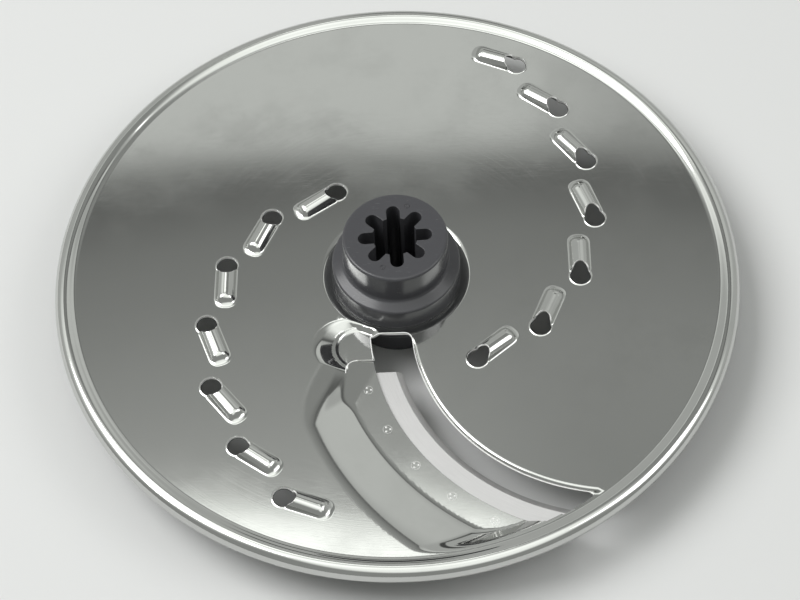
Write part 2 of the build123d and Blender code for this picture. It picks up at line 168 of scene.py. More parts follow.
class NodeSheet:
    """Adds nodes to one tree and links them."""

    def __init__(self, tree: bpy.types.NodeTree) -> None:
        """Clear a node tree and keep it."""
        self.tree = tree
        tree.nodes.clear()

    def add(
            self, kind: str, settings: Optional[Settings] = None,
            sockets: Optional[Sockets] = None) -> bpy.types.Node:
        """Add one node.

        Args:
            kind: the node's type.
            settings: properties that are set first.
            sockets: numbers, colours or links by socket name or number.

        Returns:
            The new node.
        """
        node = self.tree.nodes.new(kind)
        for key, setting in (settings or {}).items():
            setattr(node, key, setting)
        for key, content in (sockets or {}).items():
            source = content.socket if isinstance(content, Value) else content
            if isinstance(source, bpy.types.NodeSocket):
                self.tree.links.new(source, node.inputs[key])
            else:
                node.inputs[key].default_value = source
        return node

    def value(self, node: bpy.types.Node, output: Union[str, int] = 0) -> Value:
        """Wrap one output of a node."""
        return Value(self, node.outputs[output])

    def noise(self, vector: Any, scale: float, detail: float = 2.0, roughness: float = 0.5) -> Value:
        """Noise between 0 and 1 on a vector, at a scale in waves per metre."""
        return self.value(self.add(
            "ShaderNodeTexNoise", None,
            {"Vector": vector, "Scale": scale, "Detail": detail, "Roughness": roughness}))

    def blend(self, factor: Operand, first: Any, second: Any) -> bpy.types.NodeSocket:
        """Mix two colours and return the result's socket."""
        mix = self.add("ShaderNodeMix", {"data_type": "RGBA"}, {0: factor, 6: first, 7: second})
        return mix.outputs[2]

    def scaled(self, vector: Any, scale: Scale) -> bpy.types.NodeSocket:
        """Stretch a vector and return the result's socket."""
        return self.add("ShaderNodeMapping", None, {"Vector": vector, "Scale": scale}).outputs[0]

    def place(self) -> tuple[bpy.types.NodeSocket, Value, Value, Value]:
        """Object coordinates as a vector and as three numbers, in metres."""
        vector = self.add("ShaderNodeTexCoord").outputs["Object"]
        split = self.add("ShaderNodeSeparateXYZ", None, {0: vector})
        return (vector, *(self.value(split, i) for i in range(3)))

    def combined(self, x: Operand, y: Operand, z: Operand) -> bpy.types.NodeSocket:
        """Vector from three numbers."""
        return self.add("ShaderNodeCombineXYZ", None, {0: x, 1: y, 2: z}).outputs[0]

    def broken_edges(self, radius: float) -> bpy.types.NodeSocket:
        """Normal that is rounded at the edges over a radius in metres."""
        return self.add("ShaderNodeBevel", {"samples": BEVEL_SAMPLES}, {"Radius": radius}).outputs[0]

    def bump(self, height: Value, relief: Pair, normal: Optional[bpy.types.NodeSocket] = None) -> Any:
        """Normal that follows a height.

        Args:
            height: number between 0 and 1.
            relief: strength, and depth in metres.
            normal: the normal that the height is laid over, where there is one.

        Returns:
            The new normal's socket.
        """
        sockets: Sockets = {"Strength": relief[0], "Distance": relief[1], "Height": height}
        if normal is not None:
            sockets["Normal"] = normal
        return self.add("ShaderNodeBump", None, sockets).outputs[0]


def new_material(name: str) -> tuple[bpy.types.Material, NodeSheet]:
    """Make an empty node material.

    Args:
        name: the material's name.

    Returns:
        The material and the sheet that adds its nodes.
    """
    material = bpy.data.materials.new(name)
    material.use_nodes = True
    return material, NodeSheet(material.node_tree)


def surface(sheet: NodeSheet, sockets: Sockets) -> None:
    """Add the Principled shader and the material's output."""
    shader = sheet.add("ShaderNodeBsdfPrincipled", None, sockets)
    sheet.add("ShaderNodeOutputMaterial", None, {"Surface": shader.outputs[0]})


@dataclass(frozen=True)
class PolishedSteel:
    """Rolled and polished sheet with soft waves, wiping scratches and broken edges."""

    name: str = "steel_sheet_polished"
    colour: Colour = (0.60, 0.605, 0.59)
    smear: Colour = (0.54, 0.545, 0.53)
    gloss: float = 0.055
    gloss_range: float = 0.05
    edge_break: float = 0.12 * MM
    swirl_turn: float = 0.012
    wipe_scale: Scale = (60.0, 5200.0, 1.0)
    line_scale: Scale = (260.0, 9000.0, 900.0)
    smear_scale: float = 55.0
    wave_scale: float = 38.0
    worn_at: Pair = (0.42, 0.74)
    wipes_at: Pair = (0.45, 0.75)
    lines_at: Pair = (0.5, 0.8)
    worn_share: float = 0.6
    smear_share: float = 0.5
    wave: Pair = (0.03, 0.2 * MM)
    scratch: Pair = (0.05, 0.01 * MM)

    def material(self) -> bpy.types.Material:
        """Build the material and return it."""
        material, sheet = new_material(self.name)
        spot, x, y, _ = sheet.place()
        angle = x.math("ARCTAN2", y, x)
        radius = (x * x + y * y) ** 0.5
        swirl = sheet.combined(angle * self.swirl_turn, radius, 0.0)
        wipes = sheet.noise(sheet.scaled(swirl, self.wipe_scale), 1.0, detail=3.0, roughness=0.6)
        lines = sheet.noise(sheet.scaled(spot, self.line_scale), 1.0, detail=2.0, roughness=0.6)
        smears = sheet.noise(spot, self.smear_scale, detail=4.0, roughness=0.6)
        waves = sheet.noise(spot, self.wave_scale, detail=1.0, roughness=0.4)
        worn = smears.step(*self.worn_at)
        fine = wipes.step(*self.wipes_at) * 0.5 + lines.step(*self.lines_at) * 0.5
        dulled = self.worn_share * worn + (1.0 - self.worn_share) * fine
        wavy = sheet.bump(waves, self.wave, sheet.broken_edges(self.edge_break))
        surface(sheet, {
            "Base Color": sheet.blend(worn * self.smear_share, (*self.colour, 1.0), (*self.smear, 1.0)),
            "Metallic": 1.0, "Roughness": self.gloss + self.gloss_range * dulled,
            "Normal": sheet.bump(fine, self.scratch, wavy)})
        return material


@dataclass(frozen=True)
class ShearedSteel:
    """Bright cut edges of the sheet."""

    name: str = "steel_edge_sheared"
    colour: Colour = (0.9, 0.9, 0.885)
    metal: float = 0.3
    gloss: float = 0.5
    gloss_range: float = 0.2
    tear_stretch: Scale = (1.0, 1.0, 0.25)
    tear_scale: float = 2600.0

    def material(self) -> bpy.types.Material:
        """Build the material and return it."""
        material, sheet = new_material(self.name)
        spot, _, _, _ = sheet.place()
        torn = sheet.noise(sheet.scaled(spot, self.tear_stretch), self.tear_scale)
        surface(sheet, {
            "Base Color": (*self.colour, 1.0), "Metallic": self.metal,
            "Roughness": self.gloss + self.gloss_range * torn})
        return material


@dataclass(frozen=True)
class GroundSteel:
    """Satin blade steel with grinding lines that follow the blade's arc."""

    name: str = "blade_steel_satin"
    colour: Colour = (0.60, 0.593, 0.593)
    lines_colour: Colour = (0.52, 0.513, 0.513)
    lines_share: float = 0.6
    lines_at: Pair = (0.35, 0.7)
    centre: Pair = (51.9 * MM, -15.9 * MM)
    turn_length: float = 0.05
    line_scale: Scale = (160.0, 9000.0, 1.0)
    cloud_scale: float = 120.0
    gloss: float = 0.46
    cloud_range: float = 0.14
    line_range: float = 0.1
    edge_break: float = 0.05 * MM
    grind: Pair = (0.18, 0.02 * MM)

    def material(self) -> bpy.types.Material:
        """Build the material and return it."""
        material, sheet = new_material(self.name)
        spot, x, y, _ = sheet.place()
        away_x, away_y = x - self.centre[0], y - self.centre[1]
        radius = (away_x * away_x + away_y * away_y) ** 0.5
        angle = x.math("ARCTAN2", away_y, away_x * -1.0)
        along_arc = sheet.combined(angle * self.turn_length, radius, 0.0)
        lines = sheet.noise(sheet.scaled(along_arc, self.line_scale), 1.0, detail=3.0, roughness=0.65)
        cloud = sheet.noise(spot, self.cloud_scale, detail=3.0)
        ground = lines.step(*self.lines_at) * self.lines_share
        surface(sheet, {
            "Base Color": sheet.blend(ground, (*self.colour, 1.0), (*self.lines_colour, 1.0)),
            "Metallic": 1.0,
            "Roughness": self.gloss + self.cloud_range * (cloud - 0.5) + self.line_range * lines,
            "Normal": sheet.bump(lines, self.grind, sheet.broken_edges(self.edge_break))})
        return material


@dataclass(frozen=True)
class MouldedPlastic:
    """Dark grey moulded plastic with a fine skin and rubbed edges."""

    name: str = "hub_plastic_moulded"
    colour: Colour = (0.066, 0.066, 0.072)
    rubbed: Colour = (0.105, 0.105, 0.11)
    rubbed_share: float = 0.5
    gloss: float = 0.22
    cloud_range: float = 0.1
    scuff_range: float = 0.12
    shine: float = 0.4
    grain_scale: float = 3800.0
    cloud_scale: float = 160.0
    scuff_scale: Scale = (500.0, 2600.0, 900.0)
    scuffs_at: Pair = (0.56, 0.8)
    edge_break: float = 0.3 * MM
    skin: Pair = (0.12, 0.03 * MM)

    def material(self) -> bpy.types.Material:
        """Build the material and return it."""
        material, sheet = new_material(self.name)
        spot, _, _, _ = sheet.place()
        grain = sheet.noise(spot, self.grain_scale)
        cloud = sheet.noise(spot, self.cloud_scale, detail=3.0)
        scuffs = sheet.noise(sheet.scaled(spot, self.scuff_scale), 1.0, detail=4.0, roughness=0.7)
        scuffs = scuffs.step(*self.scuffs_at)
        surface(sheet, {
            "Base Color": sheet.blend(scuffs * self.rubbed_share, (*self.colour, 1.0), (*self.rubbed, 1.0)),
            "Roughness": self.gloss + self.cloud_range * (cloud - 0.5) + self.scuff_range * scuffs,
            "Specular IOR Level": self.shine,
            "Normal": sheet.bump(grain, self.skin, sheet.broken_edges(self.edge_break))})
        return material


@dataclass(frozen=True)
class PaleFloor:
    """Plain pale floor with a barely visible tooth."""

    name: str = "floor_pale"
    colour: Colour = (0.73, 0.735, 0.73)
    roughness: float = 0.9
    shine: float = 0.2
    tooth_scale: float = 900.0
    relief: Pair = (0.06, 0.3 * MM)

    def material(self) -> bpy.types.Material:
        """Build the material and return it."""
        material, sheet = new_material(self.name)
        spot, _, _, _ = sheet.place()
        tooth = sheet.noise(spot, self.tooth_scale, detail=3.0)
        surface(sheet, {
            "Base Color": (*self.colour, 1.0), "Roughness": self.roughness,
            "Specular IOR Level": self.shine, "Normal": sheet.bump(tooth, self.relief)})
        return material


class PieceTree(NodeSheet):
    """Geometry tree with named sizes that turns a base mesh into a finished piece."""

    def __init__(self, name: str, sizes: dict[str, float]) -> None:
        """Make the tree.

        Args:
            name: the tree's and the piece's name.
            sizes: named sizes, which become the tree's inputs.
        """
        tree = bpy.data.node_groups.new(name, "GeometryNodeTree")
        super().__init__(tree)
        self.name = name
        self.sizes = sizes
        tree.interface.new_socket("Geometry", in_out="INPUT", socket_type="NodeSocketGeometry")
        tree.interface.new_socket("Geometry", in_out="OUTPUT", socket_type="NodeSocketGeometry")
        self.identifiers = {
            label: tree.interface.new_socket(label, in_out="INPUT", socket_type="NodeSocketFloat").identifier
            for label in sizes}
        self.source = self.add("NodeGroupInput")

    def size(self, label: str) -> Value:
        """One of the tree's named sizes."""
        return self.value(self.source, label)

    def finish(self, instances: bpy.types.NodeSocket, material: bpy.types.Material) -> None:
        """Realize the instances, give them their material and end the tree."""
        real = self.add("GeometryNodeRealizeInstances", None, {0: instances})
        smooth = self.add("GeometryNodeSetShadeSmooth", None, {0: real.outputs[0]})
        dressed = self.add(
            "GeometryNodeSetMaterial", None, {"Geometry": smooth.outputs[0], "Material": material})
        self.add("NodeGroupOutput", None, {0: dressed.outputs[0]})

    def bake(self, base: bpy.types.Mesh, material: bpy.types.Material) -> bpy.types.Object:
        """Run the tree on a base mesh.

        Args:
            base: mesh whose points the tree works on.
            material: the finish that the piece carries.

        Returns:
            A plain mesh object with no modifier.
        """
        carrier = bpy.data.objects.new(self.name + "_base", base)
        bpy.context.scene.collection.objects.link(carrier)
        modifier = carrier.modifiers.new(self.name, "NODES")
        modifier.node_group = self.tree
        for label, number in self.sizes.items():
            modifier[self.identifiers[label]] = number
        graph = bpy.context.evaluated_depsgraph_get()
        mesh = bpy.data.meshes.new_from_object(carrier.evaluated_get(graph))
        mesh.name = self.name
        bpy.data.objects.remove(carrier)
        piece = bpy.data.objects.new(self.name, mesh)
        bpy.context.scene.collection.objects.link(piece)
        if not mesh.materials:
            mesh.materials.append(material)
        return piece


def ring_marks(
        name: str, sizes: dict[str, float], places: list[Place],
        finish: bpy.types.Material) -> bpy.types.Object:
    """Small marks that repeat: a fine ring round three specks.

    Args:
        name: the piece's name.
        sizes: radius and wire of the ring, and radius of the specks, in metres.
        places: centres of the marks, in millimetres.
        finish: the finish that the marks carry.

    Returns:
        One plain mesh object with all the marks.
    """
    tree = PieceTree(name, sizes)
    radius = tree.size("Ring Radius")
    loop = tree.add("GeometryNodeCurvePrimitiveCircle", None, {"Resolution": RING_STEPS, "Radius": radius})
    wire = tree.add("GeometryNodeCurvePrimitiveCircle", None, {
        "Resolution": WIRE_STEPS, "Radius": tree.size("Ring Wire")})
    ring = tree.add("GeometryNodeCurveToMesh", None, {
        "Curve": loop.outputs[0], "Profile Curve": wire.outputs[0]})
    trio = tree.add("GeometryNodeMeshCircle", None, {"Vertices": 3, "Radius": radius * SPECK_SPREAD})
    speck = tree.add("GeometryNodeMeshUVSphere", None, {
        "Segments": SPECK_STEPS[0], "Rings": SPECK_STEPS[1], "Radius": tree.size("Speck")})
    specks = tree.add("GeometryNodeInstanceOnPoints", None, {
        "Points": trio.outputs[0], "Instance": speck.outputs[0]})
    depth = tree.size("Speck") * SPECK_SINK
    sunk = tree.add("GeometryNodeTransform", None, {
        "Geometry": specks.outputs[0], "Translation": tree.combined(0.0, 0.0, depth)})
    mark = tree.add("GeometryNodeJoinGeometry")
    for part in (ring, sunk):
        tree.tree.links.new(part.outputs[0], mark.inputs[0])
    spread = tree.add("GeometryNodeInstanceOnPoints", None, {
        "Points": tree.source.outputs["Geometry"], "Instance": mark.outputs[0]})
    tree.finish(spread.outputs[0], finish)
    base = bpy.data.meshes.new(name + "_centres")
    base.from_pydata((np.array(places) * MM).tolist(), [], [])
    return tree.bake(base, finish)


def smooth(values: np.ndarray, low: float, high: float) -> np.ndarray:
    """Smooth step from 0 at low to 1 at high."""
    share = np.clip((values - low) / (high - low), 0.0, 1.0)
    return share * share * (3.0 - 2.0 * share)


def soft_min(first: np.ndarray, second: np.ndarray, blend: float) -> np.ndarray:
    """Lesser of two heights, rounded where they meet over a height of blend."""
    near = np.maximum(blend - np.abs(first - second), 0.0) / blend
    return np.minimum(first, second) - near * near * blend / 4.0


def joined(first: np.ndarray, second: np.ndarray) -> np.ndarray:
    """Greater of two depths, rounded where they meet and nothing where both are nothing."""
    return (first ** 4 + second ** 4) ** 0.25


def within(points: np.ndarray, loop: np.ndarray) -> np.ndarray:
    """Tell which plan points lie inside a closed loop.

    Args:
        points: plan points, one in a row.
        loop: corners of the loop, one in a row.

    Returns:
        True for each point inside.
    """
    inside = np.zeros(len(points), bool)
    for (ax, ay), (bx, by) in zip(loop, np.roll(loop, -1, axis=0)):
        crosses = (ay > points[:, 1]) != (by > points[:, 1])
        with np.errstate(divide="ignore", invalid="ignore"):
            inside ^= crosses & (points[:, 0] < (bx - ax) * (points[:, 1] - ay) / (by - ay) + ax)
    return inside


def along(loop: np.ndarray, spacing: float) -> np.ndarray:
    """Points about evenly spaced along a closed loop, its corners among them."""
    points = []
    for start, end in zip(loop, np.roll(loop, -1, axis=0)):
        count = max(1, round(float(np.hypot(*(end - start))) / spacing))
        points.extend(start + (end - start) * i / count for i in range(count))
    return np.array(points)


def eased(loop: np.ndarray, corner: np.ndarray, reach: float) -> np.ndarray:
    """Closed loop with one corner rounded off.

    Args:
        loop: closely spaced points of the loop.
        corner: the corner's place.
        reach: distance from the corner at which the rounding starts on each side.

    Returns:
        Points of the loop, which then starts after the corner.
    """
    away = np.hypot(*(loop - corner).T) > reach
    first = int(np.argmin(away))
    kept = np.roll(loop, -first, axis=0)[np.roll(away, -first)]
    share = np.linspace(0.0, 1.0, EASE_STEPS)[1:-1, None]
    bend = kept[-1] * (1.0 - share) ** 2 + corner * 2.0 * share * (1.0 - share) + kept[0] * share ** 2
    return np.vstack((kept, bend))


def circle(x: float, y: float, radius: float, start: float, end: float, count: int) -> np.ndarray:
    """Plan points on an arc between two directions in degrees."""
    turns = np.radians(np.linspace(start, end, count))
    return np.column_stack((x + radius * np.cos(turns), y + radius * np.sin(turns)))


def staggered(x_span: Pair, y_span: Pair, step: float, row: float) -> np.ndarray:
    """Plan points in staggered rows.

    Args:
        x_span: where the rows start and end.
        y_span: where the first row lies and where the rows end.
        step: distance between the points of a row.
        row: distance between the rows.

    Returns:
        Plan points, one in a row.
    """
    grid = np.stack(np.meshgrid(np.arange(*x_span, step), np.arange(*y_span, row)), axis=-1)
    grid[1::2, :, 0] += step / 2
    return grid.reshape(-1, 2)


@dataclass
class Tooth:
    """One grating tooth in its own plan axes, along the hood and across it, in millimetres."""

    hole_r: float = 2.6
    burr: float = 0.12
    burr_width: float = 0.36
    start: float = 1.0
    full: float = 1.9
    straight: float = 9.2
    rise: tuple[float, float] = (2.35, 1.8)
    half: tuple[float, float, float] = (2.85, 2.95, 3.4)
    crown: tuple[float, float, float] = (0.82, 0.76, 0.45)
    blunt: float = 2.6
    mouth_r: float = 2.2
    mouth_shift: float = 1.1
    mouth_half: float = 2.1
    reach: tuple[float, float, float] = (-4.5, 14.0, 5.5)
    mouth_steps: int = 19
    hole_steps: int = 40
    lead_in: float = 0.3
    rows: int = 20
    fan: int = 19
    crown_steps: int = 9
    foot_steps: int = 7
    margins: Pair = (0.05, 0.6)
    rings: tuple[float, ...] = (0.05, 0.12, 0.2, 0.3, 0.4, 0.5, 0.9)
    ring_span: Pair = (50.0, 310.0)
    ring_steps: int = 48

    def section(self, share: np.ndarray, end: np.ndarray) -> Sections:
        """Height, half width, crown radius and foot radius of the hood.

        Args:
            share: share of the way from the mouth to the closed end.
            end: share by which a section points along the hood, past its straight part.

        Returns:
            The four sizes at each place.
        """
        rise = self.rise[0] + (self.rise[1] - self.rise[0]) * share
        half, crown = (
            first + (second - first) * share + (third - second) * end
            for first, second, third in (self.half, self.crown))
        reach = half / np.sin(2.0 * np.arctan(rise / half))
        return rise, half, crown * reach, (1.0 - crown) * reach

    def height(self, u: np.ndarray, v: np.ndarray) -> np.ndarray:
        """Height of the sheet at points along and across the tooth."""
        share = np.clip((u - self.start) / (self.straight - self.start), 0.0, 1.0)
        past = np.maximum(u - self.straight, 0.0)
        across = (past ** self.blunt + np.abs(v) ** self.blunt) ** (1.0 / self.blunt)
        rise, half, crown, foot = self.section(share, (past / np.maximum(across, 1e-6)) ** self.blunt)
        top = rise - crown + np.sqrt(np.maximum(crown ** 2 - across ** 2, 0.0))
        flare = foot - np.sqrt(np.maximum(foot ** 2 - (half - across) ** 2, 0.0))
        raised = np.where(across < crown * half / (crown + foot), top, np.where(across < half, flare, 0.0))
        away = np.clip((np.hypot(u, v) - self.hole_r) / self.burr_width, 0.0, 1.0)
        burr = self.burr * (1.0 - away) ** 2 * (1.0 + 2.0 * away)
        return np.maximum(raised * smooth(u, self.start, self.full), burr * (u < self.straight))

    def loop(self) -> np.ndarray:
        """Plan outline of the opening: the hole and the hood's mouth."""
        swing = math.degrees(math.asin(self.mouth_half / self.mouth_r))
        mouth = circle(self.mouth_shift, 0.0, self.mouth_r, -swing, swing, self.mouth_steps)
        side = math.degrees(math.asin(self.mouth_half / self.hole_r))
        hole = circle(0.0, 0.0, self.hole_r, side, 360.0 - side, self.hole_steps)
        return np.vstack((mouth, hole))

    def points(self) -> np.ndarray:
        """Plan points close enough to show the hood and the rolled edge of the hole."""
        rows = []
        for u in np.linspace(self.start - self.lead_in, self.straight, self.rows):
            share = np.clip((u - self.start) / (self.straight - self.start), 0.0, 1.0)
            rows.extend((u, sign * v) for v in self.columns(float(share)) for sign in (-1.0, 1.0))
        for turn in np.radians(np.linspace(-90.0, 90.0, self.fan)):
            ahead, aside = abs(math.cos(turn)), math.sin(turn)
            size = (ahead ** self.blunt + abs(aside) ** self.blunt) ** (1.0 / self.blunt)
            ahead, aside = ahead / size, aside / size
            rows.extend(
                (self.straight + v * ahead, v * aside) for v in self.columns(1.0, ahead ** self.blunt))
        for away in self.rings:
            rows.extend(circle(0.0, 0.0, self.hole_r + away, *self.ring_span, self.ring_steps))
        return np.array(rows)

    def columns(self, share: float, end: float = 0.0) -> list[float]:
        """Distances from the hood's middle at which its section is sampled."""
        rise, half, crown, foot = (float(one) for one in self.section(np.array(share), np.array(end)))
        steep = 2.0 * math.atan(rise / half)
        top = [crown * math.sin(steep * i / self.crown_steps) for i in range(self.crown_steps + 1)]
        shares = [i / self.foot_steps for i in range(1, self.foot_steps + 1)]
        bend = [half - foot * math.sin(steep * (1.0 - part)) for part in shares]
        return top + bend + [half + margin for margin in self.margins]


@dataclass
class SheetForm:
    """Plan outlines and heights of the pressed sheet, in millimetres from its own upper side."""

    teeth: int = 7
    first_r: float = 29.0
    last_r: float = 72.2
    spacing: float = 18.0
    leads: tuple[float, float] = (29.7, 35.6)
    toe: float = 3.0
    tooth: Tooth = field(default_factory=Tooth)
    arc: tuple[float, float] = (51.9, -15.9)
    depth: float = 2.85
    tilt: float = 0.008
    tilt_y: float = -55.0
    tongue_r: float = 59.0
    bend_r: float = 67.2
    ramp_r: float = 77.3
    slot_r: float = 48.8
    slot_out: float = 78.7
    slot_top: float = -17.875
    slot_corner: float = 2.4
    slot_out_corner: float = 2.6
    lance: float = 0.12
    lance_start: tuple[float, float] = (-6.2, -24.45)
    lance_end: tuple[float, float] = (-13.3, -28.0)
    lance_corner: float = 3.0
    lance_fade: float = 1.4
    lance_out: float = 78.2
    cut_turn: float = 4.0
    cut_width: float = 0.6
    fold_end: tuple[float, float] = (-20.9, -41.8)
    fold_slope: float = 0.37
    fold_blend: float = 2.0
    crease: float = 0.4
    fold_round: float = 1.4
    brow: float = 0.9
    fold_shift: float = 4.2
    wall_w: float = 3.1
    lip_drop: float = 0.9
    lip_run: float = 0.9
    dish_wall: float = 1.3
    dish_round: float = 0.45
    dish_step: float = 0.35
    dish_step_w: float = 1.0
    dish_rim: tuple[float, float, float] = (-13.7, -20.9, 7.65)
    dish_ledge: tuple[float, float, float] = (-10.4, -21.3, 6.1)
    dish_floor: tuple[float, float, float] = (-9.9, -21.1, 4.9)
    dish_hub: tuple[float, float] = (16.8, 18.8)
    dish_end: tuple[float, float] = (-6.9, -4.6)
    seat_r: float = 15.9
    seat_out: float = 18.4
    seat_drop: float = 1.2
    seat_curve: float = 1.5
    hole_r: float = 14.2
    rim_r: float = 79.6
    fold_fade: Pair = (0.1, 1.3)
    lip_turn: Pair = (4.0, 8.0)
    lip_clear: float = 3.0
    lip_margin: float = 0.1
    lance_lap: float = 0.6
    lance_tip: float = 0.3
    cut_lap: float = 0.5
    cut_taper: float = 2.2
    cut_tip: float = 0.02
    beyond_all: float = 200.0
    bend_steps: int = 12
    cut_steps: int = 24
    arc_steps: int = 80
    end_steps: int = 14
    loop_step: float = 0.6

    def tooth_places(self) -> list[tuple[float, float, float]]:
        """Hole centres and the directions of their hoods in degrees."""
        step = (self.last_r - self.first_r) / (self.teeth - 0.5)
        places = []
        for spiral, lead in enumerate(self.leads):
            radius = self.first_r + step * spiral / 2
            turn = 90.0 + 180.0 * spiral + lead
            for _ in range(self.teeth):
                around = math.radians(turn)
                places.append((radius * math.cos(around), radius * math.sin(around), turn + 90.0 + self.toe))
                following = radius + step
                chord = (radius ** 2 + following ** 2 - self.spacing ** 2) / (2 * radius * following)
                turn += math.degrees(math.acos(chord))
                radius = following
        return places

    def lance_line(self) -> np.ndarray:
        """Middle of the cut at the tongue's inner end."""
        (sx, sy), (ex, ey), r = self.lance_start, self.lance_end, self.lance_corner
        bend = circle(ex + r, sy - r, r, 90.0, 180.0, self.bend_steps)
        return np.vstack(([(sx + self.lance_lap, sy)], bend, [(ex, ey)]))

    def outer_cut(self) -> np.ndarray:
        """Closed outline of the cut at the tongue's outer end, which narrows away from the slot."""
        mouth = self.crossing(self.tongue_r - self.cut_lap, self.lance_out)
        outer = circle(0.0, 0.0, self.lance_out, mouth, mouth - self.cut_turn, self.cut_steps)
        left = 1.0 - np.linspace(0.0, 1.0, self.cut_steps)
        widths = self.cut_width * left ** self.cut_taper + self.cut_tip
        inner = outer * (1.0 - widths / self.lance_out)[:, None]
        return np.vstack((outer, inner[::-1]))

    def crossing(self, arc_r: float, disc_r: float) -> float:
        """Direction in which an arc about the blade's centre crosses a circle about the axis."""
        away = math.hypot(*self.arc)
        spread = math.acos((away ** 2 + disc_r ** 2 - arc_r ** 2) / (2 * away * disc_r))
        return math.degrees(math.atan2(self.arc[1], self.arc[0]) - spread)

    def ribbon(self, line: np.ndarray, width: float) -> np.ndarray:
        """Closed outline of a cut along a line."""
        ahead = np.gradient(line, axis=0)
        ahead /= np.hypot(ahead[:, 0], ahead[:, 1])[:, None]
        off = np.column_stack((-ahead[:, 1], ahead[:, 0])) * width / 2
        off[-1] *= self.lance_tip
        return np.vstack((line + off, (line - off)[::-1]))

    def turn_of(self, direction: float, radius: float) -> float:
        """Turn about the blade's centre, in degrees, of a point on a circle about the axis."""
        around = math.radians(direction)
        x, y = radius * math.cos(around), radius * math.sin(around)
        return math.degrees(math.atan2(y - self.arc[1], x - self.arc[0])) % 360.0

    def slot_loop(self) -> np.ndarray:
        """Plan outline of the slot in front of the blade."""
        ax, ay = self.arc
        near_top = 180.0 + math.degrees(math.asin((ay - self.slot_top) / self.tongue_r))
        far_top = 180.0 + math.degrees(math.asin((ay - self.slot_top) / self.slot_r))
        near_out = self.crossing(self.tongue_r, self.slot_out)
        far_out = self.crossing(self.slot_r, self.slot_out)
        near_end, far_end = (self.turn_of(direction, self.slot_out) for direction in (near_out, far_out))
        near = circle(ax, ay, self.tongue_r, near_top, near_end, self.arc_steps)
        out = circle(0.0, 0.0, self.slot_out, near_out, far_out, self.end_steps)
        far = circle(ax, ay, self.slot_r, far_end, far_top, self.arc_steps)
        loop = along(np.vstack((near, out[1:-1], far)), self.loop_step)
        loop = eased(loop, far[-1], self.slot_corner)
        return eased(loop, far[0], self.slot_out_corner)

    def burr_lines(self) -> list[np.ndarray]:
        """Edges in space that show a rolled burr: the slot, outer end to hollow, and the inner cut."""
        loop = self.slot_loop()
        loop = np.roll(loop, -int(np.argmax(loop[:, 0])), axis=0)
        cut = self.lance_line()
        last = int(np.argmin(np.hypot(*(loop - (self.arc[0] - self.tongue_r, cut[0][1])).T)))
        slot = loop[:last + 1]
        sides = [self.heights(cut[1:] + (-side, side)) for side in (self.lance, -self.lance)]
        return [
            np.column_stack((slot, self.heights(slot))),
            np.column_stack((cut[1:], np.maximum(*sides)))]

    def tongue_side(self, points: np.ndarray) -> np.ndarray:
        """Tell which plan points lie on the tongue's side of the inner cut."""
        line = self.lance_line()
        far = self.beyond_all
        around = [(-far, line[-1][1]), (-far, -far), (far, -far), (far, line[0][1])]
        return within(points, np.vstack((line, around)))

    def press(self, points: np.ndarray) -> np.ndarray:
        """Depth of the tongue, its ramp, its fold and its outer end."""
        x, y = points.T
        from_arc = np.hypot(x - self.arc[0], y - self.arc[1])
        ramp = self.depth * (self.ramp_r - from_arc) / (self.ramp_r - self.bend_r)
        wall = self.depth * (self.slot_out - np.hypot(x, y)) / self.wall_w
        (sx, sy), (ex, ey) = self.lance_end, self.fold_end
        length = math.hypot(ex - sx, ey - sy)
        inward = ((x - sx) * -(ey - sy) + (y - sy) * (ex - sx)) / length
        fold = self.fold_slope * (inward + self.fold_shift)
        level = self.depth - self.tilt * (y - self.tilt_y)
        floor = soft_min(fold, level, self.fold_round)
        crease = self.crease + (self.fold_blend - self.crease) * smooth(level - floor, *self.fold_fade)
        deep = soft_min(soft_min(ramp, wall, self.fold_blend), floor, crease)
        return -soft_min(-deep, np.zeros_like(deep), self.brow)

    def dish(self, points: np.ndarray) -> np.ndarray:
        """Depth of the hollow beside the hub: a sloping wall, a ledge, a short wall and a flat floor."""
        x, y = points.T
        rim, ledge, floor = (
            np.hypot(np.minimum(x - ring[0], 0.0), y - ring[1]) - ring[2]
            for ring in (self.dish_rim, self.dish_ledge, self.dish_floor))
        inside = np.maximum(-rim, 0.0)
        share = inside / np.maximum(inside + np.maximum(ledge, 0.0), 1e-6)
        edge = self.dish_round
        slope = np.where(share < edge, share ** 2 / (2.0 * edge), share - edge / 2.0) / (1.0 - edge / 2.0)
        drop = self.dish_wall * slope + self.dish_step * (1.0 - smooth(floor, 0.0, self.dish_step_w))
        return drop * smooth(np.hypot(x, y), *self.dish_hub) * (1.0 - smooth(x, *self.dish_end))

    def pressing(self, points: np.ndarray) -> np.ndarray:
        """Depth of all that is pressed down round the blade, with a step only at the inner cut."""
        tongue = self.tongue_side(points)
        tip = self.lance_end[0]
        before = 1.0 - smooth(points[:, 0], tip, tip + self.lance_fade)
        hollow = self.dish(points)
        deep = self.press(points)
        return joined(np.where(tongue, deep, deep * before), np.where(tongue, hollow * before, hollow))

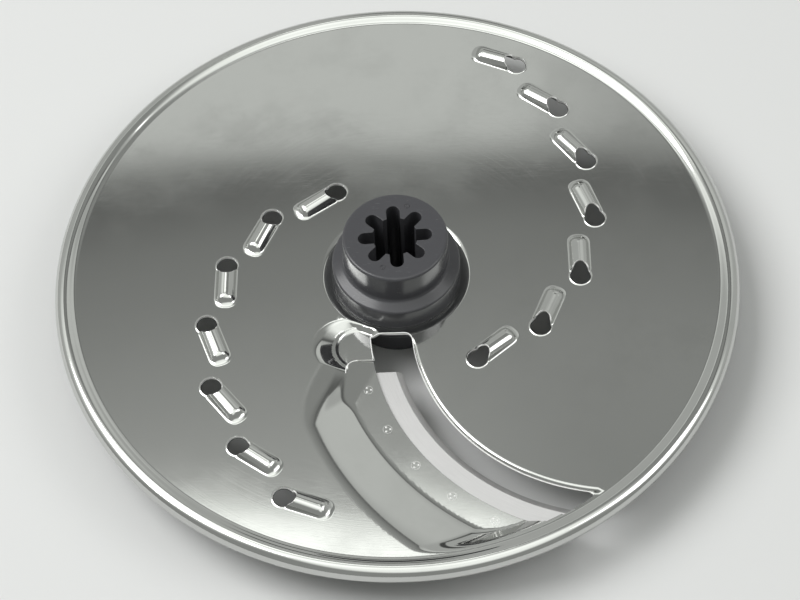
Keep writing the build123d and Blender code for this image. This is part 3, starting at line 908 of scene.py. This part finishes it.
    def heights(self, points: np.ndarray) -> np.ndarray:
        """Height of the upper side at plan points."""
        x, y = points.T
        from_axis = np.hypot(x, y)
        seat = np.clip((self.seat_out - from_axis) / (self.seat_out - self.seat_r), 0.0, 1.0)
        high = -self.seat_drop * seat ** self.seat_curve
        behind, before, beside = self.tooth.reach
        for px, py, turn in self.tooth_places():
            c, s = math.cos(math.radians(turn)), math.sin(math.radians(turn))
            u, v = (x - px) * c + (y - py) * s, (y - py) * c - (x - px) * s
            close = (u > behind) & (u < before) & (np.abs(v) < beside)
            high[close] += self.tooth.height(u[close], v[close])
        from_arc = np.hypot(x - self.arc[0], y - self.arc[1])
        beyond = (from_arc > (self.tongue_r + self.slot_r) / 2) & (y < 0.0)
        high[beyond] -= self.pressing(points[beyond])
        turn = np.degrees(np.arctan2(self.arc[1] - y, self.arc[0] - x))
        edge = np.clip((from_arc - self.slot_r + self.lip_run) / self.lip_run, 0.0, 1.0)
        edge = edge * (from_arc < self.tongue_r - self.lip_clear)
        lip = self.lip_drop * (1.0 - np.sqrt(1.0 - np.minimum(edge, 1.0) ** 2))
        inside = (from_axis < self.slot_out + self.lip_margin) & (y < 0.0)
        return high - lip * smooth(turn, *self.lip_turn) * inside


@dataclass
class SheetNet:
    """Turns the sheet's form into one closed mesh with its rolled rim."""

    form: SheetForm
    thickness: float = SHEET
    segments: int = 300
    grain: float = 0.62
    tube_r: float = 82.4
    bead: float = 2.6
    bead_depth: float = 1.8
    blend: float = 2.7
    bead_end: float = -166.0
    probe: float = 0.01
    drawn: float = 0.45
    edge_step: float = 0.45
    least_gap: float = 0.045
    tolerance: float = 1e-5
    rim_gap: float = 1e-3
    hole_steps: int = 90
    foot_steps: int = 7
    roll_steps: int = 28
    seat_rings: int = 13
    seat_steps: int = 120
    seat_margins: Pair = (0.6, 0.5)
    field_x: Pair = (-30.0, 42.0)
    field_y: Pair = (-80.0, -9.0)
    field_top: float = -23.0
    field_margins: Pair = (4.0, 0.7)
    row_share: float = 0.87
    hollow_steps: Pair = (0.3, 0.26)
    hollow_run: float = 8.0
    end_margins: Pair = (1.2, 0.1)
    end_span: Pair = (-42.0, 1.0)
    end_rings: int = 30
    end_steps: int = 160
    lip_shares: tuple[float, ...] = (-0.5, -0.08, 0.0, 0.2, 0.36, 0.5, 0.62, 0.73, 0.82, 0.9, 0.95, 0.98)
    lip_span: Pair = (183.0, 262.0)
    lip_steps: int = 160
    plane: Pair = (-80.0, 80.0)
    plane_steps: Pair = (5.0, 4.3)
    plane_margin: float = 2.0

    def cut_loops(self) -> list[np.ndarray]:
        """Closed outlines of everything that is cut out of the sheet."""
        form = self.form
        loops = [form.slot_loop(), form.ribbon(form.lance_line(), form.lance), form.outer_cut()]
        shape = form.tooth.loop()
        loops.extend(self.moved(shape, place) for place in form.tooth_places())
        return loops

    def moved(self, points: np.ndarray, place: tuple[float, float, float]) -> np.ndarray:
        """Plan points of a tooth at its place on the disc."""
        c, s = math.cos(math.radians(place[2])), math.sin(math.radians(place[2]))
        return points @ np.array(((c, s), (-s, c))) + place[:2]

    def end_ring(self) -> float:
        """Radius about the axis where the tongue's outer end begins."""
        return self.form.slot_out - self.form.wall_w - self.end_margins[0]

    def inner_points(self) -> np.ndarray:
        """Plan points that carry the sheet's heights."""
        shape = self.form.tooth.points()
        teeth = [self.moved(shape, place) for place in self.form.tooth_places()]
        return np.vstack((
            *self.seat_points(), *teeth, self.tongue_points(), self.hollow_points(),
            *self.end_points(), *self.lip_points(), self.plane_points()))

    def seat_points(self) -> list[np.ndarray]:
        """Rings of points round the hub's seat."""
        inner = self.form.seat_r - self.seat_margins[0]
        outer = self.form.seat_out + self.seat_margins[1]
        return [
            circle(0.0, 0.0, radius, 0.0, 360.0, self.seat_steps + 1)[:-1]
            for radius in np.linspace(inner, outer, self.seat_rings)]

    def tongue_points(self) -> np.ndarray:
        """Points on the tongue and its ramp."""
        form = self.form
        points = staggered(self.field_x, self.field_y, self.grain, self.grain * self.row_share)
        from_arc = np.hypot(points[:, 0] - form.arc[0], points[:, 1] - form.arc[1])
        pressed = (from_arc > form.tongue_r) & (from_arc < form.ramp_r + self.field_margins[0])
        away = np.hypot(*points.T)
        free = (away < self.end_ring()) & (away > form.seat_out + self.field_margins[1])
        return points[pressed & free & (points[:, 1] < self.field_top)]

    def hollow_points(self) -> np.ndarray:
        """Points in the hollow beside the hub."""
        x, y, reach = self.form.dish_rim
        points = staggered((-reach, reach + self.hollow_run), (-reach, reach), *self.hollow_steps) + (x, y)
        return points[np.hypot(*points.T) > self.form.seat_r]

    def end_points(self) -> list[np.ndarray]:
        """Arcs of points at the tongue's outer end."""
        form = self.form
        out = form.crossing(form.tongue_r, form.slot_out)
        first, last = (out + turn for turn in self.end_span)
        return [
            circle(0.0, 0.0, radius, first, last, self.end_steps)
            for radius in np.linspace(self.end_ring(), form.rim_r - self.end_margins[1], self.end_rings)]

    def lip_points(self) -> list[np.ndarray]:
        """Arcs of points on the slot's turned-down edge."""
        form = self.form
        return [
            circle(*form.arc, form.slot_r - form.lip_run * (1.0 - share), *self.lip_span, self.lip_steps)
            for share in self.lip_shares]

    def plane_points(self) -> np.ndarray:
        """Widely spaced points on the flat of the sheet."""
        points = staggered(self.plane, self.plane, *self.plane_steps)
        away = np.hypot(*points.T)
        inside = away < self.form.rim_r - self.plane_margin
        return points[inside & (away > self.form.seat_out + self.plane_margin)]

    def clear_of(self, points: np.ndarray, edges: np.ndarray, gap: float) -> np.ndarray:
        """Points that keep a gap from all edge points and from each other."""
        cells = {tuple(cell) for cell in np.floor(edges / gap).astype(int)}
        kept = []
        taken: set[tuple[int, int]] = set()
        for point, cell in zip(points, np.floor(points / gap).astype(int)):
            key = (int(cell[0]), int(cell[1]))
            if key in cells or key in taken:
                continue
            taken.add(key)
            kept.append(point)
        return np.array(kept)

    def plan(self) -> tuple[np.ndarray, np.ndarray]:
        """Triangulate the plan.

        Returns:
            Plan points and triangles, without those in the cut-outs.
        """
        form = self.form
        outer = circle(0.0, 0.0, form.rim_r, 0.0, 360.0, self.segments + 1)[:-1]
        inner = circle(0.0, 0.0, form.hole_r, 0.0, 360.0, self.hole_steps + 1)[:-1]
        cuts = self.cut_loops()
        loops = [outer, inner] + [along(loop, self.edge_step) for loop in cuts]
        edges, start = [], 0
        for loop in loops:
            count = len(loop)
            edges.extend((start + i, start + (i + 1) % count) for i in range(count))
            start += count
        rim_points = np.vstack(loops)
        free = self.inner_points()
        for loop in cuts:
            free = free[~within(free, loop)]
        free = self.clear_of(free, rim_points, self.least_gap)
        points = np.vstack((rim_points, free))
        result = delaunay_2d_cdt([Vector(point) for point in points], edges, [], 0, self.tolerance)
        places = np.array([tuple(point) for point in result[0]])
        faces = np.array([face for face in result[2] if len(face) == 3])
        middles = places[faces].mean(axis=1)
        keep = (np.hypot(*middles.T) < form.rim_r) & (np.hypot(*middles.T) > form.hole_r)
        for loop in cuts:
            keep &= ~within(middles, loop)
        return places, faces[keep]

    def rim_paths(self) -> tuple[np.ndarray, np.ndarray]:
        """Upper and lower half of the rolled rim's section, from the sheet outwards."""
        joint = math.degrees(math.atan2(self.blend + self.bead_depth, self.form.rim_r - self.tube_r))
        paths = []
        for inset in (0.0, self.thickness):
            foot = circle(
                self.form.rim_r, self.blend, self.blend + inset, -90.0, joint - 180.0, self.foot_steps)
            roll = circle(
                self.tube_r, -self.bead_depth, self.bead - inset, joint, self.bead_end, self.roll_steps)
            paths.append(np.vstack((foot, roll[1:])))
        return paths[0], paths[1]

    def normals(self, places: np.ndarray) -> np.ndarray:
        """Upward unit normals of the form at plan points."""
        ahead = np.zeros((len(places), 2))
        for axis in range(2):
            off = np.zeros(2)
            off[axis] = self.probe
            rise = self.form.heights(places + off) - self.form.heights(places - off)
            ahead[:, axis] = rise / (2.0 * self.probe)
        normals = np.column_stack((-ahead, np.ones(len(places))))
        normals[np.hypot(*places.T) > self.form.rim_r - self.rim_gap] = (0.0, 0.0, 1.0)
        return normals / np.linalg.norm(normals, axis=1)[:, None]

    def wall_edges(self, places: np.ndarray, faces: np.ndarray) -> list[tuple[int, int]]:
        """Edges of the plan that bound a cut-out, seen from their one face."""
        edges = {(int(face[i]), int(face[(i + 1) % 3])) for face in faces for i in range(3)}
        on_rim = np.hypot(*places.T) > self.form.rim_r - self.rim_gap
        return [
            edge for edge in sorted(edges)
            if edge[::-1] not in edges and not (on_rim[edge[0]] and on_rim[edge[1]])]

    def mesh(self) -> bpy.types.Mesh:
        """Closed mesh of the whole sheet, in metres, with the form's own normals."""
        places, faces = self.plan()
        used = np.unique(faces)
        renumber = np.full(len(places), -1)
        renumber[used] = np.arange(len(used))
        places, faces = places[used], renumber[faces]
        a, b, c = (places[faces[:, i]] for i in range(3))
        turn = (b[:, 0] - a[:, 0]) * (c[:, 1] - a[:, 1]) - (b[:, 1] - a[:, 1]) * (c[:, 0] - a[:, 0])
        faces = np.where((turn < 0)[:, None], faces[:, ::-1], faces)
        top = np.column_stack((places, self.form.heights(places)))
        normals = self.normals(places)
        count = len(top)
        rim_vertices, rim_normals, rim_faces = self.rim(places)
        thickness = self.thickness * (1.0 - self.drawn * np.clip(top[:, 2:], 0.0, 1.0))
        vertices = np.vstack((top, top - normals * thickness, rim_vertices)) + (0.0, 0.0, SHEET_TOP)
        shading = np.vstack((normals, -normals, rim_normals))
        walls = [
            (end, start, start + count, end + count) for start, end in self.wall_edges(places, faces)]
        polygons = [tuple(map(int, face)) for face in faces]
        polygons += [tuple(int(i) + count for i in face[::-1]) for face in faces]
        counts = ((Side.UPPER, faces), (Side.LOWER, faces), (Side.UPPER, rim_faces), (Side.CUT, walls))
        marks = [side.value for side, group in counts for _ in group]
        polygons += rim_faces + walls
        mesh = bpy.data.meshes.new("pressed_sheet")
        mesh.from_pydata((vertices * MM).tolist(), [], polygons)
        mesh.polygons.foreach_set("material_index", marks)
        mesh.polygons.foreach_set("use_smooth", [True] * len(polygons))
        corners = [
            tuple(polygon.normal) if mark == Side.CUT else tuple(shading[vertex])
            for polygon, mark in zip(mesh.polygons, marks) for vertex in polygon.vertices]
        mesh.normals_split_custom_set(corners)
        return mesh

    def rim(self, places: np.ndarray) -> tuple[np.ndarray, np.ndarray, list[tuple[int, ...]]]:
        """Turn the rolled rim's section about the axis, on to the sheet's outer vertices.

        Args:
            places: plan points of the sheet, whose upper vertices come first and lower ones next.

        Returns:
            Vertices, their normals and faces of the rim.
        """
        upper, lower = self.rim_paths()
        path = np.vstack((upper, lower[::-1]))
        ahead = np.vstack((np.gradient(upper, axis=0), np.gradient(lower[::-1], axis=0)))[1:-1]
        out = np.column_stack((-ahead[:, 1], ahead[:, 0]))
        out /= np.hypot(*out.T)[:, None]
        path = path[1:-1]
        count, size = len(places), len(path)
        edge = np.flatnonzero(np.hypot(*places.T) > self.form.rim_r - self.rim_gap)
        turns = np.arctan2(places[edge, 1], places[edge, 0]) * self.segments / (2.0 * math.pi)
        edge = edge[np.argsort(np.round(turns).astype(int) % self.segments)]
        vertices, normals, strips = [], [], []
        for i, turn in enumerate(np.linspace(0.0, 2.0 * math.pi, self.segments + 1)[:-1]):
            c, s = math.cos(turn), math.sin(turn)
            vertices.append(np.column_stack((path[:, 0] * c, path[:, 0] * s, path[:, 1])))
            normals.append(np.column_stack((out[:, 0] * c, out[:, 0] * s, out[:, 1])))
            first = 2 * count + i * size
            strips.append([int(edge[i]), *range(first, first + size), int(edge[i]) + count])
        faces = []
        for here, there in zip(strips, strips[1:] + strips[:1]):
            faces.extend((here[k + 1], there[k + 1], there[k], here[k]) for k in range(size + 1))
        return np.vstack(vertices), np.vstack(normals), faces


@dataclass
class PressedPlate:
    """Steel sheet with its teeth, blade seat and rolled rim."""

    form: SheetForm = field(default_factory=SheetForm)
    burr_r: float = 0.15
    weld_r: float = 62.1
    weld_first: float = 15.4
    weld_step: float = 11.1
    welds: int = 5
    mark_ring: float = 1.1
    mark_wire: float = 0.03
    mark_speck: float = 0.3

    def weld_places(self) -> list[Place]:
        """Weld centres on the tongue, in millimetres."""
        turns = np.radians(180.0 + self.weld_first + self.weld_step * np.arange(self.welds))
        points = np.array(self.form.arc) + self.weld_r * np.column_stack((np.cos(turns), np.sin(turns)))
        heights = self.form.heights(points) + SHEET_TOP
        return [(x, y, z) for (x, y), z in zip(points, heights)]

    def edge_burrs(self, finish: bpy.types.Material) -> bpy.types.Object:
        """Rolled burr along the cut edges that face up."""
        tree = PieceTree("edge_burrs", {"Burr Radius": self.burr_r * MM})
        lines = tree.add("GeometryNodeMeshToCurve", None, {0: tree.source.outputs["Geometry"]})
        ring = tree.add("GeometryNodeCurvePrimitiveCircle", None, {
            "Resolution": WIRE_STEPS, "Radius": tree.size("Burr Radius")})
        bead = tree.add("GeometryNodeCurveToMesh", None, {
            "Curve": lines.outputs[0], "Profile Curve": ring.outputs[0], "Fill Caps": True})
        tree.finish(bead.outputs[0], finish)
        places, edges = [], []
        for line in self.form.burr_lines():
            edges.extend((len(places) + i, len(places) + i + 1) for i in range(len(line) - 1))
            places.extend((line + (0.0, 0.0, SHEET_TOP - self.burr_r / 2)) * MM)
        base = bpy.data.meshes.new("burr_lines")
        base.from_pydata(places, edges, [])
        return tree.bake(base, finish)

    def sheet(self, finishes: list[bpy.types.Material]) -> bpy.types.Object:
        """Sheet in place of its solid, with the finishes of its upper side and cut edges, and a darker lower
        side that is painted shade.
        """
        mesh = SheetNet(self.form).mesh()
        for finish in finishes:
            mesh.materials.append(finish)
        piece = bpy.data.objects.new("pressed_sheet", mesh)
        bpy.context.scene.collection.objects.link(piece)
        return piece

    def build(self) -> None:
        """Make the sheet and add what is too fine for its solid."""
        finish = PolishedSteel().material()
        # The lower side gets a duller copy of the polished finish whose darker colour is painted shade,
        # standing in for the shade under the disc.
        shaded_underside = PolishedSteel(
            name="steel_sheet_shaded_underside", colour=(0.36, 0.36, 0.355), smear=(0.32, 0.32, 0.315), gloss=0.22)
        bright = ShearedSteel().material()
        sheet = self.sheet([finish, bright, shaded_underside.material()])
        sizes = {
            "Ring Radius": self.mark_ring * MM, "Ring Wire": self.mark_wire * MM,
            "Speck": self.mark_speck * MM}
        welds = ring_marks("weld_marks", sizes, self.weld_places(), bright)
        for piece in (sheet, welds, self.edge_burrs(bright)):
            carry(piece)
        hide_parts(Node.PLATE.value)


@dataclass
class SlicingBlade:
    """Ground strip under the tongue."""

    def build(self) -> None:
        """Dress the blade."""
        dress_node(Node.BLADE, GroundSteel().material())


@dataclass
class DriveHub:
    """Moulded hub with its socket and the two pin marks on its end."""

    mark_r: float = 9.5
    mark_turn: float = 70.0
    mark_ring: float = 0.62
    mark_wire: float = 0.07
    mark_speck: float = 0.16

    def build(self) -> None:
        """Dress the hub and add its pin marks."""
        finish = MouldedPlastic().material()
        dress_node(Node.HUB, finish)
        sizes = {
            "Ring Radius": self.mark_ring * MM, "Ring Wire": self.mark_wire * MM,
            "Speck": self.mark_speck * MM}
        places = []
        for side in (0.0, 180.0):
            turn = math.radians(self.mark_turn + side)
            places.append((self.mark_r * math.cos(turn), self.mark_r * math.sin(turn), HUB_TOP))
        carry(ring_marks("pin_marks", sizes, places, finish))


def dress_node(node: Node, finish: bpy.types.Material) -> None:
    """Give a solid of the model its finish."""
    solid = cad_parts[node.value]
    for slot in solid.material_slots:
        slot.material = finish
    LOG.info("%s dressed with %s", node.value, finish.name)


def carry(piece: bpy.types.Object) -> None:
    """Let a new piece ride on the body and log how many faces it has."""
    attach(piece, BODY)
    LOG.info("%s has %d faces", piece.name, len(piece.data.polygons))


@dataclass(frozen=True)
class Glow:
    """Soft round light in the room: its direction, the cosine at which it begins, and its gain."""

    toward: Place
    near: float
    gain: float


@dataclass(frozen=True)
class Room:
    """Light of the room by direction, in degrees above the horizon and to the right of the far side."""

    tint: Colour = (0.975, 1.0, 0.965)
    backdrop: Colour = (0.80, 0.805, 0.80)
    ambient: float = 0.5
    front: Pair = (-0.3, 0.3)
    wall: float = 0.36
    wall_front: float = 0.19
    patch: float = 0.18
    patch_rise: Pair = (22.0, 34.0)
    patch_side: Band = (8.0, 20.0, 40.0, 55.0)
    window: float = 0.22
    window_rise: Pair = (46.0, 49.0)
    window_side: Band = (-60.0, -40.0, 3.5, 9.0)
    above: float = 0.15
    above_steps: tuple[Place, ...] = ((0.13, 53.4, 55.0), (0.07, 54.8, 57.5), (0.55, 64.0, 80.0))
    left: float = 0.13
    left_rise: Pair = (56.0, 61.0)
    left_side: Pair = (-2.0, 9.0)
    edge: Pair = (52.75, 53.55)
    edge_fall: float = 0.04
    edge_top: float = 1.0
    panel: float = 1.4
    panel_lean: float = 0.12
    panel_low: Pair = (61.4, 61.9)
    panel_high: Pair = (68.0, 72.0)
    panel_side: Band = (-30.0, -20.0, 7.0, 9.0)
    dark: float = 0.85
    dark_side: Place = (4.0, 5.0, 8.0)
    dark_rise: Place = (24.0, 3.0, 5.5)
    glow_full: float = 0.98
    glows: tuple[Glow, ...] = (
        Glow((-0.565, 0.1, 0.82), 0.82, 0.75),
        Glow((0.72, -0.05, 0.69), 0.90, 0.5),
        Glow((0.12, -0.3, 0.945), 0.82, 1.1))

    def between(self, number: Value, band: Band) -> Value:
        """1 between a band's two inner limits, falling to 0 at its outer ones."""
        return number.step(band[0], band[1]) * (1.0 - number.step(band[2], band[3]))

    def near(self, number: Value, span: Place) -> Value:
        """1 near a span's first number, falling to 0 between the two distances after it."""
        return 1.0 - abs(number - span[0]).step(span[1], span[2])

    def level(self, sheet: NodeSheet) -> Value:
        """Brightness of the room in every direction."""
        view = sheet.add("ShaderNodeTexCoord").outputs["Generated"]
        split = sheet.add("ShaderNodeSeparateXYZ", None, {0: view})
        x, y, z = (sheet.value(split, i) for i in range(3))
        rise = z.math("ARCSINE", z) * math.degrees(1.0)
        side = x.math("ARCTAN2", x, y) * math.degrees(1.0)
        front = y.step(*self.front)
        patch = rise.step(*self.patch_rise) * self.between(side, self.patch_side)
        window = rise.step(*self.window_rise) * self.between(side, self.window_side)
        wall = self.wall + self.wall_front * front + self.patch * patch + self.window * window
        left = (1.0 - side.step(*self.left_side)) * rise.step(*self.left_rise)
        above = self.above + self.left * left
        for gain, low, high in self.above_steps:
            above = above + gain * rise.step(low, high)
        edge = (rise + self.edge_fall * abs(side - self.edge_top)).step(*self.edge) * front
        panel = (rise - self.panel_lean * side).step(*self.panel_low) * (1.0 - rise.step(*self.panel_high))
        panel = panel * self.between(side, self.panel_side)
        dark = self.near(side, self.dark_side) * self.near(rise, self.dark_rise)
        level = (wall * (1.0 - edge) + above * edge + self.panel * panel) * (1.0 - self.dark * dark)
        for glow in self.glows:
            toward = x * glow.toward[0] + y * glow.toward[1] + z * glow.toward[2]
            level = level + glow.gain * toward.step(glow.near, self.glow_full)
        return level

    def build(self) -> None:
        """Make the world: the room for all that is lit or mirrored, and a pale background."""
        world = bpy.data.worlds.new("studio_room")
        world.use_nodes = True
        bpy.context.scene.world = world
        sheet = NodeSheet(world.node_tree)
        path = sheet.add("ShaderNodeLightPath")
        shown = self.ambient + (1.0 - self.ambient) * sheet.value(path, "Is Glossy Ray")
        lit = sheet.add("ShaderNodeBackground", None, {
            "Color": (*self.tint, 1.0), "Strength": self.level(sheet) * shown})
        pale = sheet.add("ShaderNodeBackground", None, {"Color": (*self.backdrop, 1.0), "Strength": 1.0})
        choice = sheet.add("ShaderNodeMixShader", None, {
            0: path.outputs["Is Camera Ray"], 1: lit.outputs[0], 2: pale.outputs[0]})
        sheet.add("ShaderNodeOutputWorld", None, {"Surface": choice.outputs[0]})


@dataclass(frozen=True)
class Lamp:
    """Square soft lamp: its place and side in metres, and its power in watts."""

    name: str
    place: Place
    size: float
    power: float

    def hang(self) -> None:
        """Hang the lamp so that it points at the disc."""
        light = bpy.data.lights.new(self.name, "AREA")
        light.size = self.size
        light.energy = self.power
        lamp = bpy.data.objects.new(self.name, light)
        lamp.location = self.place
        lamp.rotation_euler = (-Vector(self.place)).to_track_quat("-Z", "Y").to_euler()
        bpy.context.scene.collection.objects.link(lamp)


@dataclass
class Studio:
    """Floor, light and camera."""

    room: Room = field(default_factory=Room)
    lamps: tuple[Lamp, ...] = (
        Lamp("left_lamp", (-0.76, 0.07, 1.17), 0.85, 13.5),
        Lamp("right_lamp", (0.96, -0.14, 1.01), 0.70, 3.2))
    floor_half: float = 3.0
    eye: Place = (0.6, -354.1, 536.0)
    ahead: Place = (0.0, 0.5537, -0.8327)
    right: Place = (0.9991, -0.0345, -0.0230)
    lens: float = 113.97
    sensor: float = 36.0

    def floor(self) -> None:
        """Lay the floor under the hub's foot."""
        half = self.floor_half
        mesh = bpy.data.meshes.new("floor")
        corners = [(-half, -half, 0.0), (half, -half, 0.0), (half, half, 0.0), (-half, half, 0.0)]
        mesh.from_pydata(corners, [], [(0, 1, 2, 3)])
        mesh.materials.append(PaleFloor().material())
        floor = bpy.data.objects.new("floor", mesh)
        bpy.context.scene.collection.objects.link(floor)

    def camera(self) -> None:
        """Set the camera where the photograph was taken."""
        data = bpy.data.cameras.new("camera")
        data.sensor_width = self.sensor
        data.lens = self.lens
        right, ahead = Vector(self.right).normalized(), Vector(self.ahead).normalized()
        turn = Matrix((right, right.cross(ahead), -ahead)).transposed().to_4x4()
        camera = bpy.data.objects.new("camera", data)
        camera.matrix_world = Matrix.Translation(Vector(self.eye) * MM) @ turn
        bpy.context.scene.collection.objects.link(camera)
        bpy.context.scene.camera = camera

    def build(self) -> None:
        """Set up the whole studio."""
        bpy.context.scene.view_settings.view_transform = "Standard"
        self.floor()
        self.room.build()
        for lamp in self.lamps:
            lamp.hang()
        self.camera()


def main() -> None:
    """Build the disc and its studio."""
    logging.basicConfig(level=logging.INFO, format="%(message)s")
    for part in (PressedPlate(), SlicingBlade(), DriveHub(), Studio()):
        part.build()


if __name__ == "__main__":
    main()
